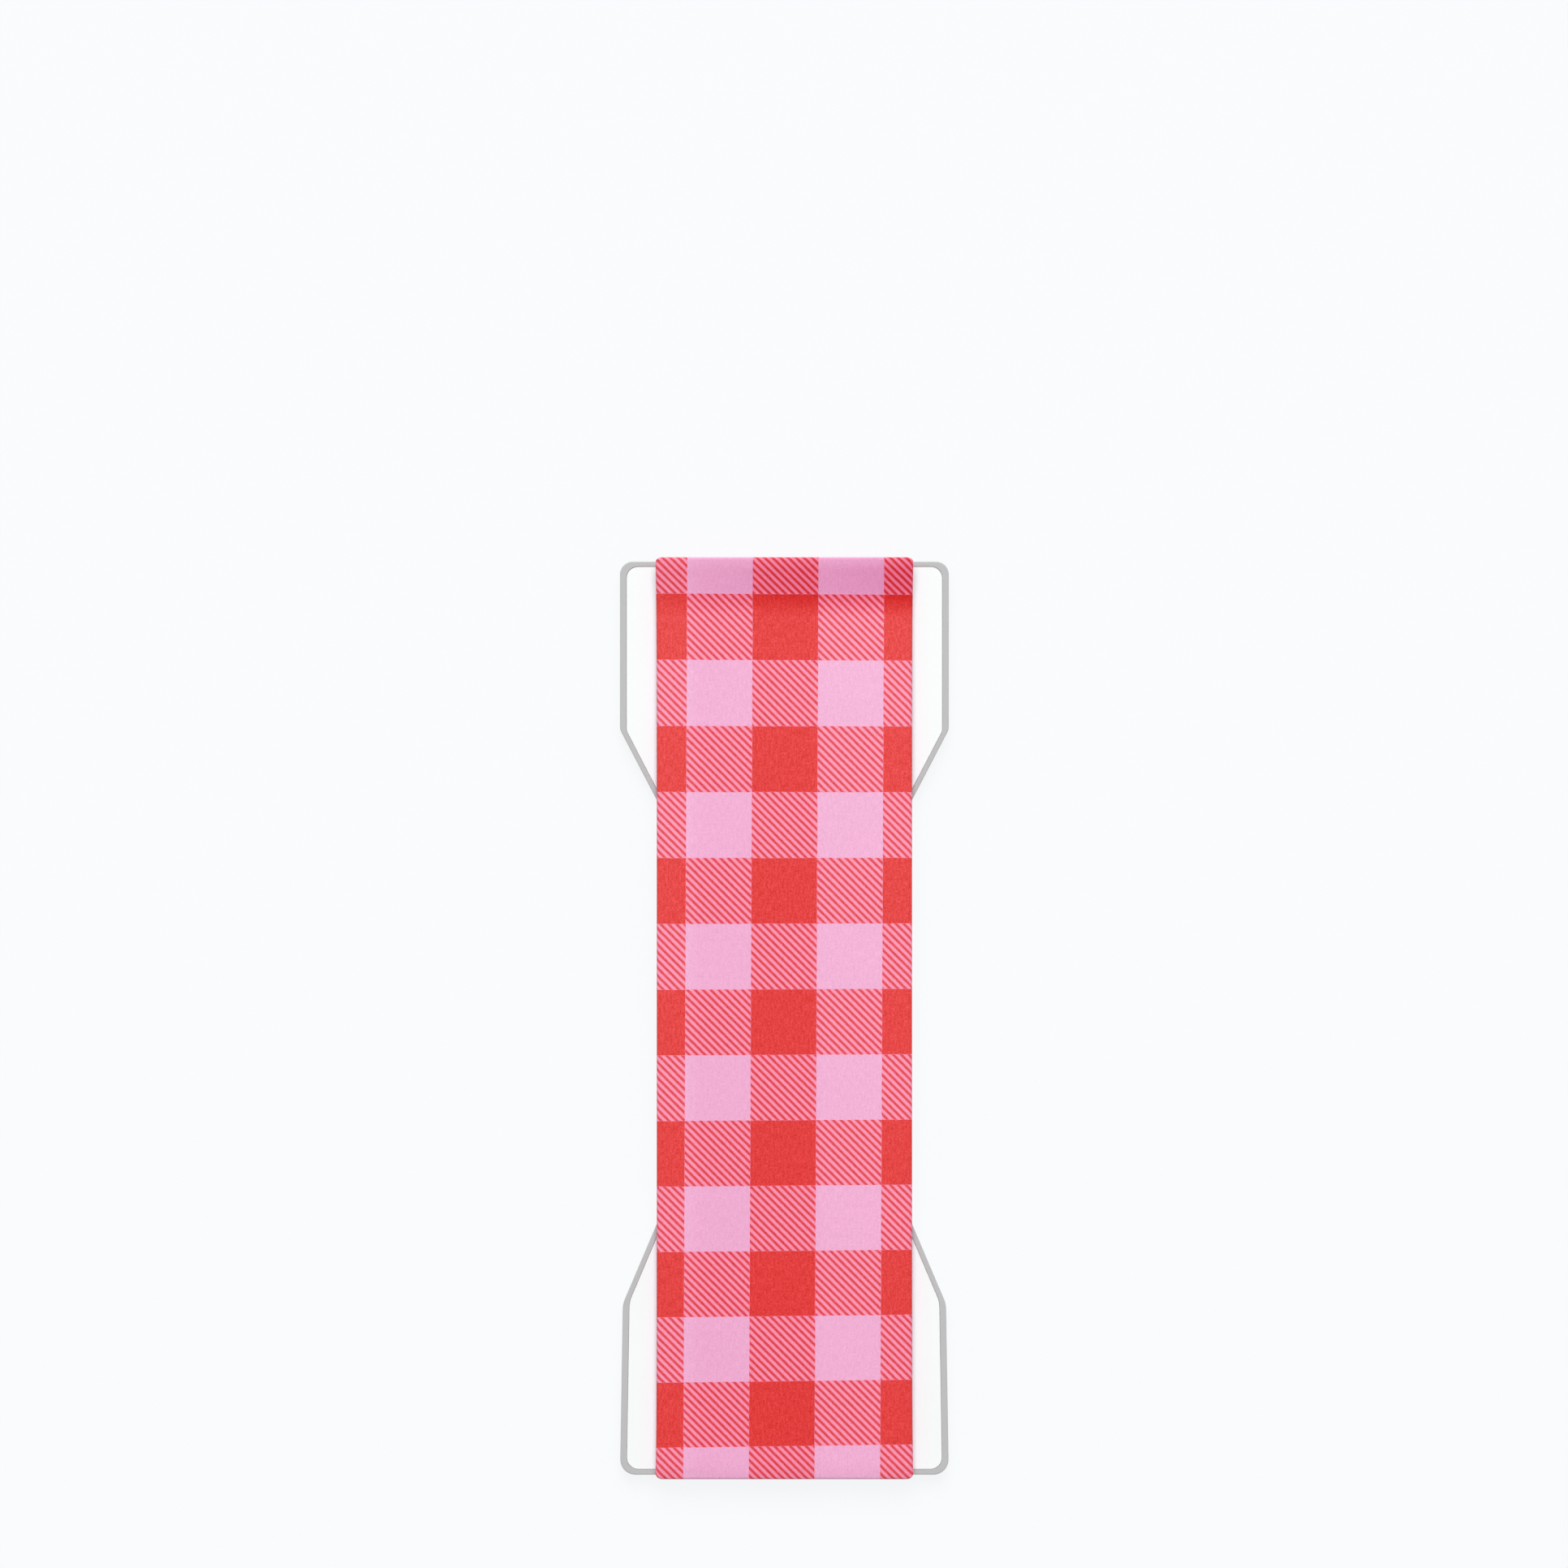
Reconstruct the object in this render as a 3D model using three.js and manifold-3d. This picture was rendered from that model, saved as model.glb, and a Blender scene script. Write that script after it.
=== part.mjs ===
// A phone grip strap hooked over its stick-on base, in millimetres.
// X runs across the base, Y along it, and Z up from the face that sticks to the phone.
import * as THREE from 'three';
import { mergeVertices } from 'three/addons/utils/BufferGeometryUtils.js';
import Module from 'manifold-3d';

const wasm = await Module();
wasm.setup();

// Strap
const strapWidth = 28;
const strapThickness = 1.2;
const strapEdgeRounding = 0.45; // along both long edges
const strapCornerRadius = 0.5; // at the four corners, seen from above
const endOverhang = 0.45; // the rolled end stands this far out past the base
const endRollRadius = 1; // where the strap turns down over the end
const strapLift = 0.25; // air between the flat run and the rim of the base
const tabInset = 0.9; // the turned-down tab is narrower than the strap by this on each side

// Hooks, one bonded inside each rolled end of the strap
const hookThickness = 0.6; // front wall and lower leg
const topHookCrown = 1; // upper plate at its outer end
const bottomHookCrown = 0.35; // the lower end lies nearly flat
const hookPlateReach = 3.95; // upper plate, inwards from the front wall's outer face
const hookLegReach = 3.6; // lower leg, inwards from the same face
const hookSideInset = 0.3; // the hook stays this far inside the strap and its tab
const hookEndGap = 0.2; // front wall to the end of the base
const hookUnderGap = 0.2; // lower leg to the underside of the base
const hookFloorGap = 0.2; // lower leg to the phone

// Base outline: four ears with a waist between them, and a notch at each end for the tab
const baseLength = 100;
const earReach = 4; // the ears stand out past the strap's edges by this
const waistTuck = 3.5; // the waist lies inside the strap's edges by this
const topEarLength = 18.4;
const topFlareAngle = 27.5; // degrees off the base's length
const topCornerRadius = 1.4;
const topFlareRadius = 1;
const bottomEarLength = 18.7;
const bottomEarTaper = 0.3; // the lower ears narrow by this towards the waist
const bottomFlareAngle = 23;
const bottomCornerRadius = 1.65;
const bottomFlareRadius = 3;
const waistRadius = 8;
const notchSideGap = 0.2; // beside the tab
const notchCornerRadius = 0.25;
const baseEdgeRounding = 0.15;

// Base section: a tray with a rim, and a face plate inside the rim
const sideRim = 0.7;
const topRim = 0.53;
const bottomRim = 0.6;
const flareRim = 0.55;
const notchRim = 0.5;
const pocketCornerRadius = 1.25; // the rim's inner corners at the four ears
const floorThickness = 0.5;
const inlayThickness = 0.6;
const rimStep = 0.1; // the rim stands proud of the face plate
const inlayGap = 0.05; // face plate to rim, all round

// Adhesive pad under the base
const padMargin = 0.8; // inside the outline of the base
const padEndGap = 0.8; // clear of the hook's lower leg

// How finely round stretches are cut into flats
const arcSteps = 4;
const roundingSteps = 2;

// Half widths, from the middle line outwards
const strapHalf = strapWidth / 2;
const tabHalf = strapHalf - tabInset;
const hookPlateHalf = strapHalf - hookSideInset;
const hookLegHalf = tabHalf - hookSideInset;
const notchHalf = tabHalf + notchSideGap;
const earHalf = strapHalf + earReach;
const waistHalf = strapHalf - waistTuck;

// Places along the base, from its middle outwards
const baseEnd = baseLength / 2;
const strapEnd = baseEnd + endOverhang;
const hookFace = strapEnd - strapThickness;
const plateEdge = hookFace - hookPlateReach;
const wallFace = hookFace - hookThickness;
const legEdge = hookFace - hookLegReach;
const notchFloor = wallFace - hookEndGap;
const padEnd = legEdge - padEndGap;

// Heights
const legBottom = hookFloorGap;
const legTop = legBottom + hookThickness;
const padTop = legTop + hookUnderGap;
const floorTop = padTop + floorThickness;
const inlayTop = floorTop + inlayThickness;
const rimTop = inlayTop + rimStep;
const runBottom = rimTop + strapLift;
const runTop = runBottom + strapThickness;
const topCrown = rimTop + topHookCrown;
const bottomCrown = rimTop + bottomHookCrown;
const strapTop = Math.max(topCrown, bottomCrown) + strapThickness;

// Solids from closed meshes, and back again
function solidOf(geometry) {
  const bare = geometry.clone();
  bare.deleteAttribute('normal');
  bare.deleteAttribute('uv');
  const merged = mergeVertices(bare);
  const vertProperties = Float32Array.from(merged.attributes.position.array);
  const triVerts = Uint32Array.from(merged.index.array);
  return new wasm.Manifold(new wasm.Mesh({ numProp: 3, vertProperties, triVerts }));
}

function geometryOf(solid) {
  const { vertProperties, triVerts } = solid.getMesh();
  const geometry = new THREE.BufferGeometry();
  geometry.setAttribute('position', new THREE.BufferAttribute(vertProperties, 3));
  geometry.setIndex(new THREE.BufferAttribute(triVerts, 1));
  geometry.computeVertexNormals();
  return geometry;
}

function part(name, geometry, color, roughness) {
  const mesh = new THREE.Mesh(geometry, new THREE.MeshStandardMaterial({ color, roughness, metalness: 0 }));
  mesh.name = name;
  return mesh;
}

// A plate of the given plan outline between two heights, its edges rounded if asked
function plate(outline, bottom, top, rounding = 0) {
  const geometry = new THREE.ExtrudeGeometry(outline, {
    depth: top - bottom - 2 * rounding,
    curveSegments: arcSteps,
    bevelEnabled: rounding > 0,
    bevelThickness: rounding,
    bevelSize: rounding,
    bevelOffset: -rounding,
    bevelSegments: roundingSteps,
  });
  return geometry.translate(0, 0, bottom + rounding);
}

// A bar across the strap: a side profile drawn in Y and Z, as wide as twice halfWidth
function crossBar(profile, halfWidth, rounding = 0) {
  const sideways = new THREE.Matrix4().makeBasis(
    new THREE.Vector3(0, 1, 0),
    new THREE.Vector3(0, 0, 1),
    new THREE.Vector3(1, 0, 0),
  );
  return plate(profile, -halfWidth, halfWidth, rounding).applyMatrix4(sideways);
}

// Takes away what lies outside halfWidth on both sides, below a height and beyond a place along Y
function trimSides(solid, halfWidth, below, beyond, end) {
  const spare = 2;
  const width = strapHalf - halfWidth + spare;
  const length = strapEnd - beyond + spare;
  const height = below + spare;
  return [-1, 1].reduce((rest, side) => {
    const block = new THREE.BoxGeometry(width, length, height);
    block.translate(side * (halfWidth + width / 2), end * (beyond + length / 2), below - height / 2);
    return rest.subtract(solidOf(block));
  }, solid);
}

// Outlines from corners, anticlockwise from above
// Each corner has its place, its radius, and the width of the rim along the edge that leaves it.
function roundedOutline(corners) {
  const outline = new THREE.Shape();
  const points = corners.map(({ x, y }) => new THREE.Vector2(x, y));
  corners.forEach((corner, i) => {
    const here = points[i];
    const back = points.at(i - 1).clone().sub(here);
    const ahead = points[(i + 1) % points.length].clone().sub(here);
    const turn = Math.sign(ahead.cross(back));
    const halfAngle = Math.acos(back.dot(ahead) / (back.length() * ahead.length())) / 2;
    const room = Math.min(back.length(), ahead.length()) / 2;
    const reach = Math.min(corner.radius / Math.tan(halfAngle), room);
    const radius = reach * Math.tan(halfAngle);
    const middle = back.clone().normalize().add(ahead.clone().normalize());
    const centre = here.clone().add(middle.setLength(radius / Math.sin(halfAngle)));
    const start = here.clone().add(back.setLength(reach)).sub(centre);
    const end = here.clone().add(ahead.setLength(reach)).sub(centre);
    outline.absarc(centre.x, centre.y, radius, start.angle(), end.angle(), turn < 0);
  });
  outline.closePath();
  return outline;
}

// The same corners moved inwards from every edge by insetOf(corner)
function insetCorners(corners, insetOf, radiusOf) {
  return corners.map((corner, i) => {
    const before = corners.at(i - 1);
    const after = corners[(i + 1) % corners.length];
    const inward = (from, to) => new THREE.Vector2(from.y - to.y, to.x - from.x).normalize();
    const n0 = inward(before, corner);
    const n1 = inward(corner, after);
    const d0 = n0.dot(corner) + insetOf(before);
    const d1 = n1.dot(corner) + insetOf(corner);
    const det = n0.cross(n1);
    const x = (d0 * n1.y - d1 * n0.y) / det;
    const y = (n0.x * d1 - n1.x * d0) / det;
    return { ...corner, x, y, radius: radiusOf(corner) };
  });
}

// Right-hand corners from the bottom ear up to the top ear, the ends at the given places
function earCorners(bottomEnd, topEnd) {
  const earBottom = -baseEnd + bottomEarLength;
  const earTop = baseEnd - topEarLength;
  const bottomEarHalf = earHalf - bottomEarTaper;
  const run = (half, angle) => (half - waistHalf) / Math.tan(THREE.MathUtils.degToRad(angle));
  const waistBottom = earBottom + run(bottomEarHalf, bottomFlareAngle);
  const waistTop = earTop - run(earHalf, topFlareAngle);
  return [
    { x: earHalf, y: bottomEnd, radius: bottomCornerRadius, rim: sideRim, ear: true },
    { x: bottomEarHalf, y: earBottom, radius: bottomFlareRadius, rim: flareRim },
    { x: waistHalf, y: waistBottom, radius: waistRadius, rim: flareRim },
    { x: waistHalf, y: waistTop, radius: waistRadius, rim: flareRim },
    { x: earHalf, y: earTop, radius: topFlareRadius, rim: sideRim },
    { x: earHalf, y: topEnd, radius: topCornerRadius, rim: topRim, ear: true },
  ];
}

// Both halves of an outline from its right half; endRim is the rim along the two edges that cross over
function bothSides(right, endRim) {
  const left = right.map((corner, i) => ({
    ...corner,
    x: -corner.x,
    rim: i > 0 ? right[i - 1].rim : endRim,
  }));
  return [...right, ...left.reverse()];
}

function baseCorners() {
  const notch = { x: notchHalf, radius: notchCornerRadius };
  return bothSides([
    { ...notch, y: -notchFloor, rim: notchRim },
    { ...notch, y: -baseEnd, rim: bottomRim },
    ...earCorners(-baseEnd, baseEnd),
    { ...notch, y: baseEnd, rim: notchRim },
    { ...notch, y: notchFloor, rim: notchRim },
  ], notchRim);
}

// The rim's inner outline, or one that keeps a gap inside it
function pocketOutline(gap) {
  const radiusOf = ({ ear, radius }) => (ear ? pocketCornerRadius : radius);
  return roundedOutline(insetCorners(baseCorners(), ({ rim }) => rim + gap, radiusOf));
}

function baseTray() {
  const body = solidOf(plate(roundedOutline(baseCorners()), padTop, rimTop, baseEdgeRounding));
  const above = 1;
  return geometryOf(body.subtract(solidOf(plate(pocketOutline(0), floorTop, rimTop + above))));
}

function baseInlay() {
  return plate(pocketOutline(inlayGap), floorTop, inlayTop);
}

function adhesivePad() {
  const corners = bothSides(earCorners(-padEnd - padMargin, padEnd + padMargin), topRim);
  return plate(roundedOutline(insetCorners(corners, () => padMargin, ({ radius }) => radius)), 0, padTop);
}

// One hook: an upper plate that thins inwards, a front wall, and a lower leg under the base
function hook(end, crown) {
  const corners = [
    [plateEdge, rimTop],
    [wallFace, rimTop],
    [wallFace, legTop],
    [legEdge, legTop],
    [legEdge, legBottom],
    [hookFace, legBottom],
    [hookFace, crown],
    [plateEdge, runBottom],
  ];
  const profile = new THREE.Shape(corners.map(([y, z]) => new THREE.Vector2(end * y, z)));
  const bar = solidOf(crossBar(profile, hookPlateHalf));
  return geometryOf(trimSides(bar, hookLegHalf, rimTop, legEdge, end));
}

// The strap: a flat run that climbs onto each hook's plate and turns down over its front wall
function strap() {
  const rollPlace = strapEnd - endRollRadius;
  const rollHeight = (crown) => crown + strapThickness - endRollRadius;
  const profile = new THREE.Shape();
  profile.moveTo(-plateEdge, runBottom);
  profile.lineTo(plateEdge, runBottom);
  profile.lineTo(hookFace, topCrown);
  profile.lineTo(hookFace, legBottom);
  profile.lineTo(strapEnd, legBottom);
  profile.absarc(rollPlace, rollHeight(topCrown), endRollRadius, 0, Math.PI / 2, false);
  profile.lineTo(plateEdge, runTop);
  profile.lineTo(-plateEdge, runTop);
  profile.absarc(-rollPlace, rollHeight(bottomCrown), endRollRadius, Math.PI / 2, Math.PI, false);
  profile.lineTo(-strapEnd, legBottom);
  profile.lineTo(-hookFace, legBottom);
  profile.lineTo(-hookFace, bottomCrown);
  profile.closePath();
  const band = solidOf(crossBar(profile, strapHalf, strapEdgeRounding));

  const planCorners = [[1, -1], [1, 1], [-1, 1], [-1, -1]].map(([right, up]) => (
    { x: right * strapHalf, y: up * strapEnd, radius: strapCornerRadius }
  ));
  const spare = 1;
  const rounded = band.intersect(solidOf(plate(roundedOutline(planCorners), -spare, strapTop + spare)));
  const tabStart = hookFace - strapEdgeRounding;
  const trimmed = [-1, 1].reduce((rest, end) => trimSides(rest, tabHalf, runBottom, tabStart, end), rounded);
  return geometryOf(trimmed);
}

const phoneStrap = new THREE.Group();
phoneStrap.add(
  part('strap', strap(), 0xee7a90, 0.85),
  part('top_end_hook', hook(1, topCrown), 0xb9bbbd, 0.45),
  part('bottom_end_hook', hook(-1, bottomCrown), 0xb9bbbd, 0.45),
  part('base_tray', baseTray(), 0xc0c1c1, 0.5),
  part('base_inlay', baseInlay(), 0xf6f7f8, 0.55),
  part('adhesive_pad', adhesivePad(), 0xe9eaea, 0.9),
);

export default phoneStrap;
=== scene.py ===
import math

import bmesh
import bpy
from mathutils import Matrix, Vector


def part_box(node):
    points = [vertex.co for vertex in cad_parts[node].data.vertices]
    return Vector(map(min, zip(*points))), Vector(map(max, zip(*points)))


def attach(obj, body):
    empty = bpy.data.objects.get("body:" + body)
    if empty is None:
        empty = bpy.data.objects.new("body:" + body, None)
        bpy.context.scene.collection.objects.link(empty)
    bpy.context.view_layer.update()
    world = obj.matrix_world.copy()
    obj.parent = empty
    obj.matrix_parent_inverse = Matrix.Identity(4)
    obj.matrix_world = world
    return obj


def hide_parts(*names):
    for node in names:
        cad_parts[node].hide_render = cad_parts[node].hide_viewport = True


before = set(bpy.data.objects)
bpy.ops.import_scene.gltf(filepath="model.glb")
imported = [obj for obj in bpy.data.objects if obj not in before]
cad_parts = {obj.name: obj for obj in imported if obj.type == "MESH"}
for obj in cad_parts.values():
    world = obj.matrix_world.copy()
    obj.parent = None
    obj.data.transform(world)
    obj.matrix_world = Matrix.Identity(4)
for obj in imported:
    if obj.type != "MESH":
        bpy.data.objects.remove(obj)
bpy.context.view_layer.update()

MM = 0.001

# Photograph
PHOTO_WIDTH_PX = 1932
PX_PER_MM = 11.25
BASE_CENTRE_PX = (966.5, 1254.5)

# Camera and light
LENS_MM = 300
SENSOR_MM = 36
LAMP_DISTANCE = 3.0
LAMP_HEIGHT_ANGLE = math.radians(55)
LAMP_SIDE_ANGLE = math.radians(-1)
LAMP_SIZE = 1.8
LAMP_WATTS = 67
WORLD_STRENGTH = 0.42
FLOOR_SIZE = 3.0
FLOOR_GAP = 0.02 * MM
FLOOR_GLOW = 0.9  # share of the floor's own white that the camera sees

# Strap, in millimetres, where the frame's boxes don't give it
STRAP_LIFT = 0.25  # flat run above the rim of the base
TAB_INSET = 0.9  # turned-down tab inside the strap's edge
END_FLARE = 0.14  # the strap spreads by this at its ends, each side
MIDDLE_INSET = 0.03  # and is narrower by this in the middle
FLARE_REACH = 6
FOLD = (0.2, 0.45)  # where the face turns down over an end: along the strap, and down
TOP_CORNER = 0.3  # seen from above
BOTTOM_CORNER = 0.35
EDGE_ROUNDING = 0.45
EDGE_ROUNDING_SHARE = 0.4  # of the thickness, where the strap is thin
SEAM_DEPTH = 0.05  # groove where printed face and backing meet on the long edges
SEAM = (0.56, 0.5, 0.44)  # its upper lip, bed and lower lip, as shares of the thickness
CLIMB = (7.0, 3.2)  # the face starts to climb at this distance from the upper end, and is steepest at that
CREST = 1.6  # from here to the end the climb grows gentler
CREST_SHARE = 0.55
DIP_START = 16  # the face sinks a little before it climbs
DIP_LEFT = 0.02
DIP_RIGHT = 0.2
DROOP_REACH = 2.2  # the lower end droops a little
DROOP = 0.2
DROOP_POWER = 2.5
UNDER_CORNER = 0.4  # the lower face reaches the hook's outer face over this length
RUN_STEP = 0.8
END_STEP = 0.12
FINE_END = 9.0  # the steps are short within this distance of the ends
ACROSS_STEPS = 40
ROUND_STEPS = 6
FOLD_STEPS = 8
DROP_STEPS = 12

# Base, in millimetres, seen from above: ears at the four corners and a waist between them
BASE_END = 50
EAR_HALF = 18
WAIST_HALF = 10.5
TOP_EAR_LENGTH = 18.4
TOP_FLARE_ANGLE = math.radians(27.5)
TOP_EAR_RADIUS = 1.4
TOP_FLARE_RADIUS = 1
BOTTOM_EAR_LENGTH = 18.7
BOTTOM_EAR_TAPER = 0.3
BOTTOM_FLARE_ANGLE = math.radians(23)
BOTTOM_EAR_RADIUS = 1.65
BOTTOM_FLARE_RADIUS = 3
WAIST_RADIUS = 8
NOTCH_HALF = 13.3
NOTCH_FLOOR = 48.45
NOTCH_RADIUS = 0.25
SIDE_RIM = 0.7
TOP_RIM = 0.53
BOTTOM_RIM = 0.6
FLARE_RIM = 0.55
NOTCH_RIM = 0.5
POCKET_RADIUS = 1.25
INLAY_GAP = 0.02
PAD_MARGIN = 0.8
PAD_END = 44.85
OUTER_ROUNDING = 0.1
INNER_ROUNDING = 0.03
PAD_ROUNDING = 0.04
HOOK_ROUNDING = 0.07
MERGE_DISTANCE = 0.001
FLAT_ANGLE = math.radians(1)
SHARP_ANGLE = math.radians(30)
ARC_STEPS = 10
FILLET_STEPS = 3

# Print: a check with diagonal lines where the two colours cross, in millimetres
CHECK_COLUMN = 7.18
CHECK_ROW = 7.172
FIRST_ROW_EDGE = 46.21
COLUMN_SHIFT = 0.08
PRINT_SKEW = 0.0044
PRINT_TWIST = -0.0002  # the rows turn one way at the upper end and the other way at the lower
PRINT_BOW = 0.0001  # the rows are a little closer together in the middle
HATCH_PITCH = 0.859  # along either edge of a square
HATCH_RED_SHARE = 0.47
HATCH_SOFTNESS = 0.09
HATCH_RAGGED = 1.6  # how far the knit shifts the edges of the lines
PRINT_SOFTNESS = 0.06
PRINT_WOBBLE = 0.06
WOBBLE_SCALE = 2.2  # noise scales are per millimetre

# Tone: above 0 the colour is deeper and darker than written, and over the upper end's climb this is
# painted shade. Places are millimetres from the strap's middle
# painted shade where the face climbs over the upper end
CLIMB_PAINTED_SHADE = 0.34
CLIMB_PAINTED_SHADE_RIGHT = 0.2  # painted shade added on the right edge and taken off on the left one
LENGTH_TONE = 0.11  # reached at the lower end
LENGTH_TONE_START = 42
LENGTH_TONE_REACH = 85
LEFT_TONE = -0.065
LEFT_TONE_START = -9
RIGHT_TONE = -0.06
RIGHT_TONE_START = 2.5
TONE_BLEND = 2
TONE_SHADE = 0.22  # share by which a tone of 1 also darkens
CLOUD_SCALE = 0.12
CLOUD_VARIATION = 0.05

# Knit and moulded surfaces
LOOP_SCALE = 6.0
LOOP_STRETCH = (1.15, 0.75, 1.0)
THREAD_SCALE = 4.0
THREAD_STRETCH = (1.0, 0.3, 1.0)
THREAD_SHARE = 0.35
KNIT_DEPTH = 0.03 * MM
INK_COVER = 1.1  # in the hollows of the knit
INK_WEAR = 0.28  # less on its loops
PINK_GRAIN = 0.55  # how much the knit changes a colour's lightness
RED_GRAIN = 0.95
BACK_GRAIN = 0.24
FABRIC_ROUGHNESS = 0.62
FABRIC_ROUGHNESS_SPREAD = 0.2
FABRIC_SPECULAR = 0.12
FABRIC_SHEEN = 0.03
FABRIC_SHEEN_ROUGHNESS = 0.5
SPARK_DEPTH = 0.008 * MM
PLASTIC_ROUGHNESS_SPREAD = 0.16
PLASTIC_SPECULAR = 0.4
PLASTIC_CLOUD_SCALE = 0.08
FOAM_CELL_SCALE = 5.0
FOAM_VARIATION = 0.12
FOAM_ROUGHNESS = 0.5
FOAM_ROUGHNESS_SPREAD = 0.2
FOAM_SPECULAR = 0.35
FOAM_DEPTH = 0.05 * MM

# Colours as seen
PINK = (246, 181, 217)
HOT_PINK = (255, 155, 184)
RED = (232, 60, 52)
HATCH_RED = (231, 76, 84)
BACK_PINK = (238, 176, 206)
RIM_GREY = (190, 190, 190)
FACE_WHITE = (250, 254, 254)
HOOK_GREY = (186, 188, 190)
FOAM_GREY = (232, 233, 234)
FLOOR_WHITE = (246, 247, 248)
BACKDROP_WHITE = (250, 252, 254)


def linear(rgb):
    """A colour written as 0 to 255 on screen, as Blender's scene colour."""
    parts = [c / 255 for c in rgb]
    return tuple(c / 12.92 if c <= 0.04045 else ((c + 0.055) / 1.055) ** 2.4 for c in parts)


# Materials

class Nodes:
    """Short calls that add shader nodes to one tree."""

    def __init__(self, tree):
        self.tree = tree
        tree.nodes.clear()

    def add(self, kind, inputs=None, **settings):
        node = self.tree.nodes.new(kind)
        for name, value in settings.items():
            setattr(node, name, value)
        for name, value in (inputs or {}).items():
            if isinstance(value, bpy.types.NodeSocket):
                self.tree.links.new(value, node.inputs[name])
            else:
                node.inputs[name].default_value = value
        return node

    def math(self, operation, *values, clamp=False):
        node = self.add("ShaderNodeMath", dict(enumerate(values)), operation=operation, use_clamp=clamp)
        return node.outputs[0]

    def mix(self, share, first, second):
        inputs = {0: share, 6: first, 7: second}
        node = self.add("ShaderNodeMix", inputs, data_type="RGBA")
        return node.outputs[2]

    def noise(self, place, scale, detail=2.0, roughness=0.5):
        inputs = {"Vector": place, "Scale": scale, "Detail": detail, "Roughness": roughness}
        return self.add("ShaderNodeTexNoise", inputs).outputs[0]

    def scaled(self, place, factors):
        inputs = {0: place, 1: factors}
        return self.add("ShaderNodeVectorMath", inputs, operation="MULTIPLY").outputs[0]

    def varied(self, colour, by, amount):
        """The colour made lighter and darker by a value around 0.5."""
        around = self.math("SUBTRACT", by, 0.5)
        value = self.math("MULTIPLY_ADD", around, amount, 1.0)
        inputs = {"Color": colour, "Value": value}
        return self.add("ShaderNodeHueSaturation", inputs).outputs[0]

    def bump(self, height, depth):
        return self.add("ShaderNodeBump", {"Height": height, "Distance": depth}).outputs[0]

    def finish(self, **inputs):
        named = {name.replace("_", " "): value for name, value in inputs.items()}
        shader = self.add("ShaderNodeBsdfPrincipled", named)
        self.add("ShaderNodeOutputMaterial", {"Surface": shader.outputs[0]})


def new_material(name):
    material = bpy.data.materials.new(name)
    material.use_nodes = True
    return material, Nodes(material.node_tree)


def rgba(rgb):
    return (*linear(rgb), 1.0)


def squares(n, across, pitch, softness):
    """1 on the bands from 0 to pitch, 0 on those from pitch to twice pitch, and so on."""
    wave = n.math("SINE", n.math("MULTIPLY", across, math.pi / pitch))
    return n.math("MULTIPLY_ADD", wave, pitch / (math.pi * softness), 0.5, clamp=True)


def grain(n, place):
    """Fine irregular knit: small raised loops, and longer threads along the strap."""
    loops = n.noise(n.scaled(place, LOOP_STRETCH), LOOP_SCALE, roughness=0.55)
    threads = n.noise(n.scaled(place, THREAD_STRETCH), THREAD_SCALE, detail=1.0)
    return n.math("MULTIPLY_ADD", threads, THREAD_SHARE, n.math("MULTIPLY", loops, 1 - THREAD_SHARE))


def printed_place(n):
    """Place on the strap in millimetres, across and along its length round the ends, and its tone, which
    holds painted shade over the upper end's climb.
    """
    place = n.add("ShaderNodeAttribute", attribute_name="print_mm").outputs["Vector"]
    across, along, tone = n.add("ShaderNodeSeparateXYZ", {0: place}).outputs
    flat = n.add("ShaderNodeCombineXYZ", {0: across, 1: along}).outputs[0]
    return flat, across, along, tone


def toned(n, colour, tone):
    """The colour made deeper and darker where the tone is above 0, and lighter below it; this carries the
    painted shade over the climb.
    """
    deeper = n.add("ShaderNodeGamma", {"Color": colour, "Gamma": n.math("ADD", tone, 1.0)}).outputs[0]
    inputs = {"Color": deeper, "Value": n.math("MULTIPLY_ADD", tone, -TONE_SHADE, 1.0)}
    return n.add("ShaderNodeHueSaturation", inputs).outputs[0]


def fabric_finish(n, colour, texture):
    n.finish(
        Base_Color=colour,
        Roughness=n.math("MULTIPLY_ADD", texture, FABRIC_ROUGHNESS_SPREAD, FABRIC_ROUGHNESS),
        Specular_IOR_Level=FABRIC_SPECULAR,
        Sheen_Weight=FABRIC_SHEEN,
        Sheen_Roughness=FABRIC_SHEEN_ROUGHNESS,
        Normal=n.bump(texture, KNIT_DEPTH),
    )


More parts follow.
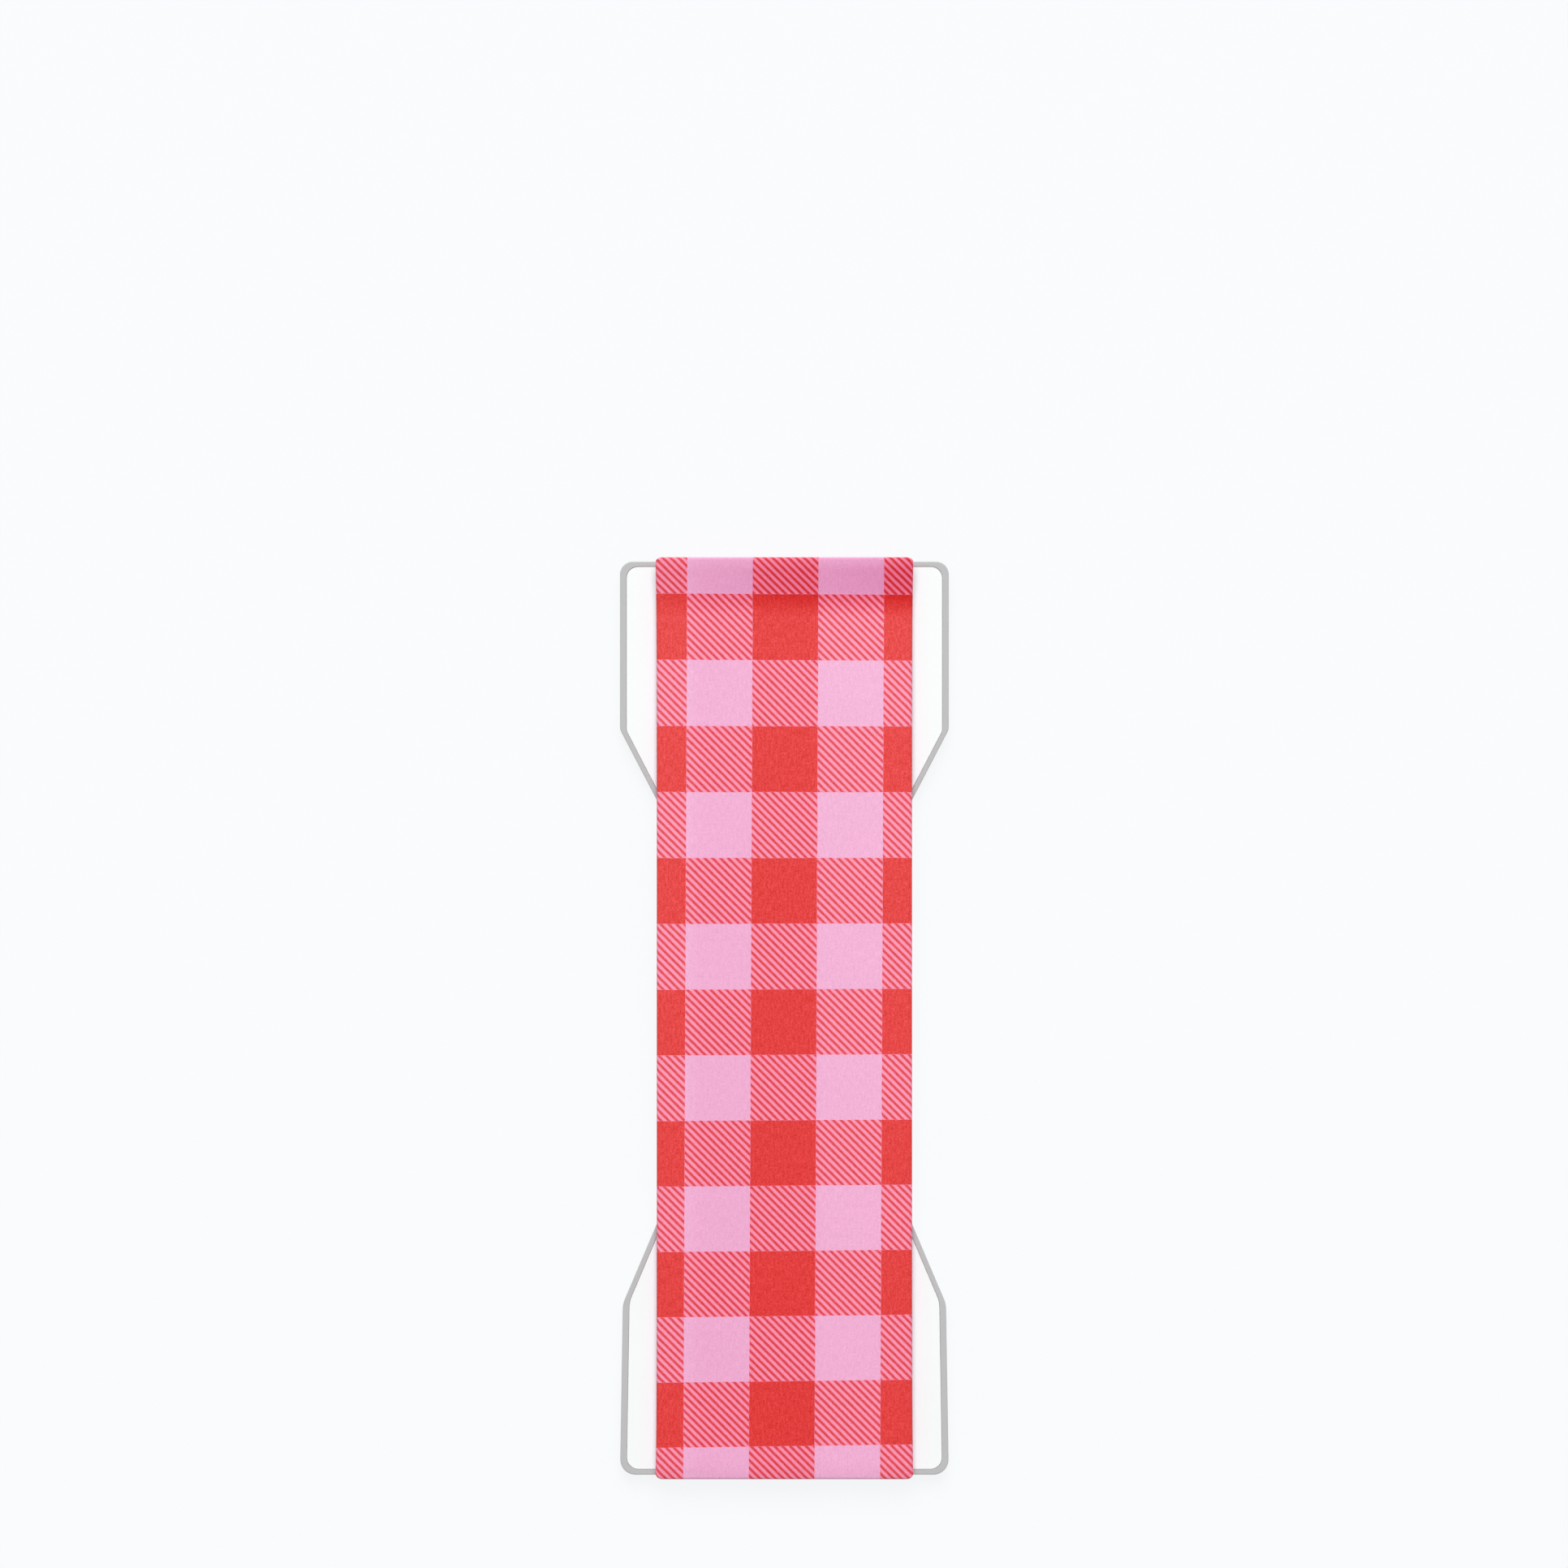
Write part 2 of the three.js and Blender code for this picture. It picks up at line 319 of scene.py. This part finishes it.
def strap_print():
    material, n = new_material("strap_print")
    place, across, along, tone = printed_place(n)
    wobble = n.math("MULTIPLY_ADD", n.noise(place, WOBBLE_SCALE), 2 * PRINT_WOBBLE, -PRINT_WOBBLE)

    column_place = n.math("MULTIPLY_ADD", along, -PRINT_SKEW, across)
    column_place = n.math("ADD", n.math("ADD", column_place, COLUMN_SHIFT + CHECK_COLUMN / 2), wobble)
    turned = n.math("MULTIPLY_ADD", along, PRINT_TWIST, PRINT_SKEW)
    row_place = n.math("MULTIPLY_ADD", across, turned, FIRST_ROW_EDGE)
    bowed = n.math("MULTIPLY", n.math("MULTIPLY", along, along), PRINT_BOW)
    row_place = n.math("ADD", n.math("ADD", row_place, bowed), wobble)
    row_place = n.math("SUBTRACT", row_place, along)
    columns = squares(n, column_place, CHECK_COLUMN, PRINT_SOFTNESS)
    rows = squares(n, row_place, CHECK_ROW, PRINT_SOFTNESS)

    diagonal = n.math("ADD", n.math("ADD", across, along), wobble)
    wave = n.math("SINE", n.math("MULTIPLY", diagonal, 2 * math.pi / HATCH_PITCH))
    sharpness = HATCH_PITCH / (2 * math.pi * HATCH_SOFTNESS)
    level = 0.5 - math.cos(math.pi * HATCH_RED_SHARE) * sharpness
    texture = grain(n, place)
    ragged = n.math("MULTIPLY_ADD", texture, HATCH_RAGGED, level - HATCH_RAGGED / 2)
    hatch = n.math("MULTIPLY_ADD", wave, sharpness, ragged, clamp=True)

    solid = n.math("MULTIPLY", columns, rows)
    crossed = n.math("ABSOLUTE", n.math("SUBTRACT", columns, rows))
    ink = n.math("MAXIMUM", solid, n.math("MULTIPLY", crossed, hatch))
    cover = n.math("MULTIPLY_ADD", texture, -INK_WEAR, INK_COVER)
    covered = n.math("MULTIPLY", ink, cover, clamp=True)
    light = n.mix(crossed, rgba(PINK), rgba(HOT_PINK))
    dark = n.mix(crossed, rgba(RED), rgba(HATCH_RED))
    # the tone darkens the colour: painted shade over the upper end's climb
    colour = toned(n, n.mix(covered, light, dark), tone)
    colour = n.varied(colour, n.noise(place, CLOUD_SCALE), CLOUD_VARIATION)
    colour = n.varied(colour, texture, n.math("MULTIPLY_ADD", ink, RED_GRAIN - PINK_GRAIN, PINK_GRAIN))
    fabric_finish(n, colour, texture)
    return material


def strap_back():
    material, n = new_material("strap_back")
    texture = grain(n, printed_place(n)[0])
    fabric_finish(n, n.varied(rgba(BACK_PINK), texture, BACK_GRAIN), texture)
    return material


def moulded_plastic(name, rgb, roughness, spark_mm, variation):
    """Satin moulded plastic with a fine spark-eroded texture and slightly uneven gloss."""
    material, n = new_material(name)
    place = n.scaled(n.add("ShaderNodeTexCoord").outputs["Object"], (1 / MM,) * 3)
    texture = n.noise(place, 1 / spark_mm, detail=3.0, roughness=0.6)
    clouds = n.noise(place, PLASTIC_CLOUD_SCALE)
    smoothest = roughness - PLASTIC_ROUGHNESS_SPREAD / 2
    n.finish(
        Base_Color=n.varied(rgba(rgb), clouds, variation),
        Roughness=n.math("MULTIPLY_ADD", texture, PLASTIC_ROUGHNESS_SPREAD, smoothest),
        Specular_IOR_Level=PLASTIC_SPECULAR,
        Normal=n.bump(texture, SPARK_DEPTH),
    )
    return material


def foam_tape():
    material, n = new_material("foam_tape")
    place = n.scaled(n.add("ShaderNodeTexCoord").outputs["Object"], (1 / MM,) * 3)
    inputs = {"Vector": place, "Scale": FOAM_CELL_SCALE}
    cells = n.add("ShaderNodeTexVoronoi", inputs, feature="SMOOTH_F1").outputs[0]
    n.finish(
        Base_Color=n.varied(rgba(FOAM_GREY), cells, FOAM_VARIATION),
        Roughness=n.math("MULTIPLY_ADD", cells, FOAM_ROUGHNESS_SPREAD, FOAM_ROUGHNESS),
        Specular_IOR_Level=FOAM_SPECULAR,
        Normal=n.bump(cells, FOAM_DEPTH),
    )
    return material


# Shapes

def smooth(t):
    """Steps from 0 to 1 as t does, with a soft start and end."""
    t = min(max(t, 0.0), 1.0)
    return t * t * (3 - 2 * t)


def new_piece(name, vertices, faces, materials, slots=None):
    """A smooth-shaded object from points in millimetres."""
    mesh = bpy.data.meshes.new(name)
    mesh.from_pydata([(x * MM, y * MM, z * MM) for x, y, z in vertices], [], faces)
    for material in materials:
        mesh.materials.append(material)
    for i, polygon in enumerate(mesh.polygons):
        polygon.use_smooth = True
        polygon.material_index = slots[i] if slots else 0
    mesh.update()
    piece = bpy.data.objects.new(name, mesh)
    bpy.context.scene.collection.objects.link(piece)
    return piece


def join_rings(vertices_in_ring, ring_count):
    """Four-sided faces between neighbouring rings, and one face to close each end."""
    n = vertices_in_ring
    faces = []
    for i in range(ring_count - 1):
        for k in range(n):
            a = i * n + k
            b = i * n + (k + 1) % n
            faces.append((a, b, b + n, a + n))
    last = (ring_count - 1) * n
    faces.append(tuple(range(n))[::-1])
    faces.append(tuple(range(last, last + n)))
    return faces


# Strap

def strap_sizes():
    """The strap's main sizes in millimetres, from the boxes of the nodes that it covers."""
    low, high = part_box("strap")
    top_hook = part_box("top_end_hook")
    bottom_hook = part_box("bottom_end_hook")
    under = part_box("base_tray")[1].z / MM + STRAP_LIFT
    thickness = (high.z - top_hook[1].z) / MM
    return {
        "half": high.x / MM,
        "end": high.y / MM,
        "low": low.z / MM,
        "top": high.z / MM,
        "hook_face": top_hook[1].y / MM,
        "plate_edge": top_hook[0].y / MM,
        "top_crown": top_hook[1].z / MM,
        "bottom_crown": bottom_hook[1].z / MM,
        "under": under,
        "run_top": under + thickness,
    }


def climb_steepness(d):
    """How steeply the face climbs at a distance from the upper end, as a share of its steepest."""
    gentler = (1 - CREST_SHARE) * smooth((CREST - d) / (CREST - FOLD[0]))
    return smooth((CLIMB[0] - d) / (CLIMB[0] - CLIMB[1])) * (1 - gentler)


def climb_table():
    """The climb summed from where it starts, in steps of a fiftieth of a millimetre."""
    step = 0.02
    count = round((CLIMB[0] - FOLD[0]) / step)
    sums = [0.0]
    for i in range(count):
        sums.append(sums[-1] + climb_steepness(CLIMB[0] - (i + 0.5) * step) * step)
    return step, sums


CLIMB_STEP, CLIMB_SUMS = climb_table()


def climbed(d):
    i = round((CLIMB[0] - d) / CLIMB_STEP)
    return CLIMB_SUMS[min(max(i, 0), len(CLIMB_SUMS) - 1)]


def face_height(z, x, y):
    """The strap's upper face at a place."""
    d = z["end"] - abs(y)
    if y < 0:
        return z["run_top"] - DROOP * max(1 - d / DROOP_REACH, 0.0) ** DROOP_POWER
    side = 0.5 + 0.5 * x / z["half"]
    dip = DIP_LEFT + (DIP_RIGHT - DIP_LEFT) * side
    sunk = dip * smooth((DIP_START - d) / (DIP_START - CLIMB[0]))
    return z["run_top"] - sunk + (z["top"] - z["run_top"] + dip) * climbed(d) / CLIMB_SUMS[-1]


def under_height(z, y):
    """The strap's lower face, which climbs onto the hook's plate."""
    crown = z["top_crown"] if y > 0 else z["bottom_crown"]
    share = (abs(y) - z["plate_edge"]) / (z["hook_face"] - z["plate_edge"])
    return z["under"] + (crown - z["under"]) * min(max(share, 0.0), 1.0)


def end_stations(z, side):
    """Distances from the end, drops of the face, and points of the lower face, round one end."""
    crown = z["top_crown"] if side > 0 else z["bottom_crown"]
    around = []
    for i in range(1, FOLD_STEPS + 1):
        turn = i / FOLD_STEPS * math.pi / 2
        around.append((FOLD[0] * (1 - math.sin(turn)), FOLD[1] * (1 - math.cos(turn))))
    face = face_height(z, 0, side * z["end"])
    for i in range(1, DROP_STEPS + 1):
        around.append((0.0, FOLD[1] + (face - FOLD[1] - z["low"]) * i / DROP_STEPS))
    step = (crown - z["low"]) / len(around)
    return [(d, drop, z["hook_face"], crown - step * (i + 1)) for i, (d, drop) in enumerate(around)]


def run_places(z):
    """Places along the flat run and its ends, closer together near the ends."""
    coarse = z["end"] - FINE_END
    count = round(2 * coarse / RUN_STEP)
    places = [-coarse + 2 * coarse * i / count for i in range(count + 1)]
    fine_reach = FINE_END - FOLD[0]
    fine_count = round(fine_reach / END_STEP)
    fine = [coarse + fine_reach * i / fine_count for i in range(1, fine_count + 1)]
    return [-y for y in reversed(fine)] + places + fine


def strap_stations(z):
    """Along the strap: place, drop below the face, and the lower face's place and height."""
    corner_start = z["hook_face"] - UNDER_CORNER
    stations = []
    for y in run_places(z):
        inner = abs(y)
        if inner > corner_start:
            share = (inner - corner_start) / (z["end"] - FOLD[0] - corner_start)
            inner = corner_start + (z["hook_face"] - corner_start) * share
        inner = math.copysign(inner, y)
        stations.append((y, 0.0, inner, under_height(z, inner)))
    top = [(z["end"] - d, drop, y, height) for d, drop, y, height in end_stations(z, 1)]
    bottom = [(-(z["end"] - d), drop, -y, height) for d, drop, y, height in end_stations(z, -1)]
    return bottom[::-1] + stations + top


def half_width(z, y, drop):
    """Half the strap's width: it spreads a little towards its ends, and its tabs are narrower."""
    d = z["end"] - abs(y)
    half = z["half"] + END_FLARE * math.exp(-d / FLARE_REACH) - MIDDLE_INSET
    radius = TOP_CORNER if y > 0 else BOTTOM_CORNER
    if d < radius:
        half -= radius - math.sqrt(radius * radius - (radius - d) ** 2)
    tab = z["half"] - TAB_INSET
    fold_height = face_height(z, 0, y) - z["under"]
    return half - (half - tab) * smooth((drop - FOLD[1]) / (fold_height - FOLD[1]))


def edge_section(thickness):
    """Points round the strap's right edge, from its face down: outwards, share of the thickness, girth."""
    rounding = min(EDGE_ROUNDING, thickness * EDGE_ROUNDING_SHARE)
    points = []
    for i in range(1, ROUND_STEPS + 1):
        turn = i / ROUND_STEPS * math.pi / 2
        points.append((rounding * math.sin(turn), 1 - rounding / thickness * (1 - math.cos(turn))))
    points += [(rounding, SEAM[0]), (rounding - SEAM_DEPTH, SEAM[1]), (rounding, SEAM[2])]
    for i in range(ROUND_STEPS):
        turn = i / ROUND_STEPS * math.pi / 2
        points.append((rounding * math.cos(turn), rounding / thickness * (1 - math.sin(turn))))
    section = []
    girth = 0.0
    before = (0.0, 1.0)
    for out, share in points:
        girth += math.hypot(out - before[0], (share - before[1]) * thickness)
        section.append((out, share, girth))
        before = (out, share)
    return rounding, section


def strap_ring(half, thickness):
    """One closed section: place across, share of the thickness, and place in the print."""
    rounding, edge = edge_section(thickness)
    flat = half - rounding
    across = [-flat + 2 * flat * k / ACROSS_STEPS for k in range(ACROSS_STEPS + 1)]
    right = [(flat + out, share, flat + girth) for out, share, girth in edge]
    left = [(-x, share, -place) for x, share, place in right]
    return [(x, 1.0, x) for x in across] + right + [(x, 0.0, x) for x in across[::-1]] + left[::-1]


def tone_with_painted_shade(z, x, y):
    """Painted shade where the face climbs over the upper end, a deeper and darker colour towards the lower
    end, and lighter along the long edges.
    """
    d = z["end"] - y
    climbing = climb_steepness(max(d, FOLD[0])) if y > 0 else 0.0
    # painted shade over the climbing face
    painted_climb_shade = (CLIMB_PAINTED_SHADE + CLIMB_PAINTED_SHADE_RIGHT * x / z["half"]) * climbing
    along = LENGTH_TONE * min(max((LENGTH_TONE_START - y) / LENGTH_TONE_REACH, 0.0), 1.0)
    left = LEFT_TONE * smooth((LEFT_TONE_START - x) / TONE_BLEND)
    right = RIGHT_TONE * smooth((x - RIGHT_TONE_START) / TONE_BLEND)
    return painted_climb_shade + along + left + right


def build_strap():
    z = strap_sizes()
    stations = strap_stations(z)
    outer = [(y, face_height(z, 0, y) - drop) for y, drop, _, _ in stations]
    lengths = [0.0]
    for before, after in zip(outer, outer[1:]):
        lengths.append(lengths[-1] + math.dist(before, after))
    middle = min(range(len(outer)), key=lambda i: abs(outer[i][0]))
    offset = lengths[middle] - outer[middle][0]

    vertices = []
    print_places = []
    for (y, drop, under_y, under_z), length in zip(stations, lengths):
        middle_height = face_height(z, 0, y) - drop
        thickness = math.dist((y, middle_height), (under_y, under_z))
        ring = strap_ring(half_width(z, y, drop), thickness)
        for x, share, across in ring:
            face = face_height(z, x, y) - drop
            vertices.append((x, under_y + (y - under_y) * share, under_z + (face - under_z) * share))
            # the third part is the tone, with painted shade over the climb
            print_places.append((across, length - offset, tone_with_painted_shade(z, x, y)))

    faces = join_rings(len(ring), len(stations))
    seam = ACROSS_STEPS + ROUND_STEPS + 2
    to_other_seam = 2 * (ROUND_STEPS + 1) + ACROSS_STEPS + 2
    back = range(seam, seam + to_other_seam)
    slots = [1 if i % len(ring) in back else 0 for i in range(len(faces) - 2)] + [1, 1]
    strap = new_piece("elastic_strap", vertices, faces, [strap_print(), strap_back()], slots)
    attribute = strap.data.attributes.new("print_mm", "FLOAT_VECTOR", "POINT")
    attribute.data.foreach_set("vector", [part for place in print_places for part in place])
    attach(strap, "root")
    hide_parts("strap")


# Base: outlines from corners, anticlockwise from above: x, y, radius, and rim along the edge that follows

def ear_corners(bottom_end, top_end):
    ear_bottom = -BASE_END + BOTTOM_EAR_LENGTH
    ear_top = BASE_END - TOP_EAR_LENGTH
    low_half = EAR_HALF - BOTTOM_EAR_TAPER
    waist_bottom = ear_bottom + (low_half - WAIST_HALF) / math.tan(BOTTOM_FLARE_ANGLE)
    waist_top = ear_top - (EAR_HALF - WAIST_HALF) / math.tan(TOP_FLARE_ANGLE)
    return [
        (EAR_HALF, bottom_end, BOTTOM_EAR_RADIUS, SIDE_RIM),
        (low_half, ear_bottom, BOTTOM_FLARE_RADIUS, FLARE_RIM),
        (WAIST_HALF, waist_bottom, WAIST_RADIUS, FLARE_RIM),
        (WAIST_HALF, waist_top, WAIST_RADIUS, FLARE_RIM),
        (EAR_HALF, ear_top, TOP_FLARE_RADIUS, SIDE_RIM),
        (EAR_HALF, top_end, TOP_EAR_RADIUS, TOP_RIM),
    ]


def both_sides(right, end_rim):
    rims = [end_rim] + [corner[3] for corner in right[:-1]]
    left = [(-x, y, radius, rim) for (x, y, radius, _), rim in zip(right, rims)]
    return right + left[::-1]


def base_corners():
    bottom_notch = [
        (NOTCH_HALF, -NOTCH_FLOOR, NOTCH_RADIUS, NOTCH_RIM),
        (NOTCH_HALF, -BASE_END, NOTCH_RADIUS, BOTTOM_RIM),
    ]
    top_notch = [
        (NOTCH_HALF, BASE_END, NOTCH_RADIUS, NOTCH_RIM),
        (NOTCH_HALF, NOTCH_FLOOR, NOTCH_RADIUS, NOTCH_RIM),
    ]
    return both_sides(bottom_notch + ear_corners(-BASE_END, BASE_END) + top_notch, NOTCH_RIM)


def inset_corners(corners, inset_of, radius_of):
    """The corners moved inwards from every edge by the inset of the corner that it leaves."""
    moved = []
    for i, (x, y, radius, rim) in enumerate(corners):
        before = corners[i - 1]
        after = corners[(i + 1) % len(corners)]
        here = Vector((x, y))
        first = Vector((before[1] - y, x - before[0])).normalized()
        second = Vector((y - after[1], after[0] - x)).normalized()
        d0 = first.dot(here) + inset_of(before[3])
        d1 = second.dot(here) + inset_of(rim)
        det = first.cross(second)
        place_x = (d0 * second.y - d1 * first.y) / det
        place_y = (first.x * d1 - second.x * d0) / det
        moved.append((place_x, place_y, radius_of(radius), rim))
    return moved


def rounded_outline(corners):
    """Points along the outline, each with its outward direction."""
    points = []
    for i, (x, y, radius, _) in enumerate(corners):
        here = Vector((x, y))
        back = Vector(corners[i - 1][:2]) - here
        ahead = Vector(corners[(i + 1) % len(corners)][:2]) - here
        convex = ahead.cross(back) > 0
        half_angle = back.angle(ahead) / 2
        room = min(back.length, ahead.length) / 2
        reach = min(radius / math.tan(half_angle), room)
        true_radius = reach * math.tan(half_angle)
        towards = (back.normalized() + ahead.normalized()).normalized()
        centre = here + towards * (true_radius / math.sin(half_angle))
        start = here + back.normalized() * reach - centre
        turn = math.pi - 2 * half_angle
        for k in range(ARC_STEPS + 1):
            angle = turn * k / ARC_STEPS * (1 if convex else -1)
            arm = start.copy()
            arm.rotate(Matrix.Rotation(angle, 2))
            points.append((centre + arm, arm.normalized() * (1 if convex else -1)))
    return points


def fillet(outline, height, rounding, top):
    """Rings round an edge, from the wall to the face above it (top 1) or from the face below (top -1)."""
    rings = []
    for k in range(FILLET_STEPS + 1):
        turn = k / FILLET_STEPS * math.pi / 2
        inwards = rounding * (1 - math.cos(turn))
        down = rounding * (1 - math.sin(turn))
        rings.append((outline, inwards, height - down))
    if top < 0:
        rings = [(shape, inset, 2 * height - z) for shape, inset, z in rings[::-1]]
    return rings


def lofted(name, rings, material):
    """A closed solid through rings, each an outline, an inset from it and a height."""
    vertices = []
    for outline, inset, height in rings:
        vertices += [(p.x - out.x * inset, p.y - out.y * inset, height) for p, out in outline]
    faces = join_rings(len(rings[0][0]), len(rings))
    return new_piece(name, vertices, faces, [material])


def plate_rings(outline, low, high, rounding):
    """Rings of a plate with rounded edges; the spare rings beside them keep the flats flat."""
    spare = 0.05
    bottom = [(outline, rounding + spare, low)] + fillet(outline, low, rounding, -1)
    top = fillet(outline, high, rounding, 1) + [(outline, rounding + spare, high)]
    walls = [(outline, 0, low + rounding + spare), (outline, 0, high - rounding - spare)]
    return bottom + walls + top


def span(node):
    low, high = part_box(node)
    return low.z / MM, high.z / MM


def pocket_radius(radius):
    return POCKET_RADIUS if radius in (TOP_EAR_RADIUS, BOTTOM_EAR_RADIUS) else radius


def pocket_outline(gap):
    return rounded_outline(inset_corners(base_corners(), lambda rim: rim + gap, pocket_radius))


def finish_piece(piece, node):
    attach(piece, "root")
    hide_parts(node)


def build_tray():
    low, high = span("base_tray")
    floor = span("base_inlay")[0]
    outline = rounded_outline(base_corners())
    pocket = pocket_outline(0)
    spare = 0.03
    rings = plate_rings(outline, low, high, OUTER_ROUNDING)
    rim = [(shape, -inset, z) for shape, inset, z in fillet(pocket, high, INNER_ROUNDING, 1)]
    rings += [(pocket, -INNER_ROUNDING - spare, high)] + rim[::-1]
    rings += [(pocket, 0, high - INNER_ROUNDING - spare), (pocket, 0, floor + spare)]
    rings += [(pocket, 0, floor), (pocket, spare, floor)]
    material = moulded_plastic("tray_plastic", RIM_GREY, roughness=0.5, spark_mm=0.25, variation=0.03)
    finish_piece(lofted("tray_shell", rings, material), "base_tray")


def build_inlay():
    low, high = span("base_inlay")
    rings = plate_rings(pocket_outline(INLAY_GAP), low, high, INNER_ROUNDING)
    material = moulded_plastic("inlay_plastic", FACE_WHITE, roughness=0.55, spark_mm=0.3, variation=0.01)
    finish_piece(lofted("face_plate", rings, material), "base_inlay")


def build_pad():
    low, high = span("adhesive_pad")
    corners = both_sides(ear_corners(-PAD_END - PAD_MARGIN, PAD_END + PAD_MARGIN), TOP_RIM)
    outline = rounded_outline(inset_corners(corners, lambda rim: PAD_MARGIN, lambda radius: radius))
    rings = plate_rings(outline, low, high, PAD_ROUNDING)
    finish_piece(lofted("foam_pad", rings, foam_tape()), "adhesive_pad")


def build_hooks():
    """The hooks with their edges softened."""
    material = moulded_plastic("hook_plastic", HOOK_GREY, roughness=0.45, spark_mm=0.25, variation=0.04)
    for node in ("top_end_hook", "bottom_end_hook"):
        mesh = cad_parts[node].data.copy()
        work = bmesh.new()
        work.from_mesh(mesh)
        bmesh.ops.remove_doubles(work, verts=work.verts, dist=MERGE_DISTANCE * MM)
        bmesh.ops.dissolve_limit(work, angle_limit=FLAT_ANGLE, verts=work.verts, edges=work.edges)
        shared = [edge for edge in work.edges if len(edge.link_faces) == 2]
        sharp = [edge for edge in shared if edge.calc_face_angle() > SHARP_ANGLE]
        offset = HOOK_ROUNDING * MM
        bmesh.ops.bevel(work, geom=sharp, offset=offset, segments=2, profile=0.5, affect="EDGES")
        work.to_mesh(mesh)
        work.free()
        mesh.materials.clear()
        mesh.materials.append(material)
        piece = bpy.data.objects.new(f"{node}_moulding", mesh)
        bpy.context.scene.collection.objects.link(piece)
        finish_piece(piece, node)


# Stage, light and camera

def build_floor():
    half = FLOOR_SIZE / 2
    corners = [(-half, -half, 0), (half, -half, 0), (half, half, 0), (-half, half, 0)]
    mesh = bpy.data.meshes.new("floor")
    mesh.from_pydata(corners, [], [(0, 1, 2, 3)])
    floor = bpy.data.objects.new("floor", mesh)
    floor.location.z = -FLOOR_GAP
    bpy.context.scene.collection.objects.link(floor)
    material, n = new_material("floor_white")
    lit = n.add("ShaderNodeBsdfDiffuse", {"Color": rgba(FLOOR_WHITE)})
    glow = n.add("ShaderNodeEmission", {"Color": rgba(BACKDROP_WHITE), "Strength": 1.0})
    seen = n.add("ShaderNodeLightPath").outputs["Is Camera Ray"]
    share = n.math("MULTIPLY", seen, FLOOR_GLOW)
    both = n.add("ShaderNodeMixShader", {0: share, 1: lit.outputs[0], 2: glow.outputs[0]})
    n.add("ShaderNodeOutputMaterial", {"Surface": both.outputs[0]})
    mesh.materials.append(material)


def build_light():
    world = bpy.data.worlds.new("studio")
    world.use_nodes = True
    bpy.context.scene.world = world
    n = Nodes(world.node_tree)
    soft = n.add("ShaderNodeBackground", {"Color": (1.0, 1.0, 1.0, 1.0), "Strength": WORLD_STRENGTH})
    white = n.add("ShaderNodeBackground", {"Color": rgba(BACKDROP_WHITE), "Strength": 1.0})
    path = n.add("ShaderNodeLightPath").outputs
    mirrored = n.math("MAXIMUM", path["Is Glossy Ray"], path["Is Transmission Ray"])
    seen = n.math("MAXIMUM", path["Is Camera Ray"], mirrored)
    both = n.add("ShaderNodeMixShader", {0: seen, 1: soft.outputs[0], 2: white.outputs[0]})
    n.add("ShaderNodeOutputWorld", {"Surface": both.outputs[0]})

    lamp = bpy.data.lights.new("key_light", "AREA")
    lamp.shape = "SQUARE"
    lamp.size = LAMP_SIZE
    lamp.energy = LAMP_WATTS
    key = bpy.data.objects.new("key_light", lamp)
    level = math.cos(LAMP_HEIGHT_ANGLE)
    towards = Vector((
        math.sin(LAMP_SIDE_ANGLE) * level,
        math.cos(LAMP_SIDE_ANGLE) * level,
        math.sin(LAMP_HEIGHT_ANGLE),
    ))
    key.location = towards * LAMP_DISTANCE
    key.rotation_euler = towards.to_track_quat("Z", "Y").to_euler()
    bpy.context.scene.collection.objects.link(key)


def build_camera():
    """Straight down, with the photograph's centre in the middle of the view."""
    data = bpy.data.cameras.new("camera")
    data.lens = LENS_MM
    data.sensor_width = SENSOR_MM
    frame_width = PHOTO_WIDTH_PX / PX_PER_MM * MM
    distance = frame_width * LENS_MM / SENSOR_MM
    centre_x = (PHOTO_WIDTH_PX / 2 - BASE_CENTRE_PX[0]) / PX_PER_MM * MM
    centre_y = (BASE_CENTRE_PX[1] - PHOTO_WIDTH_PX / 2) / PX_PER_MM * MM
    camera = bpy.data.objects.new("camera", data)
    camera.location = (centre_x, centre_y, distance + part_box("base_tray")[1].z)
    bpy.context.scene.collection.objects.link(camera)
    bpy.context.scene.camera = camera


bpy.context.scene.view_settings.view_transform = "Standard"
build_camera()
build_light()
build_floor()
build_strap()
build_tray()
build_inlay()
build_pad()
build_hooks()
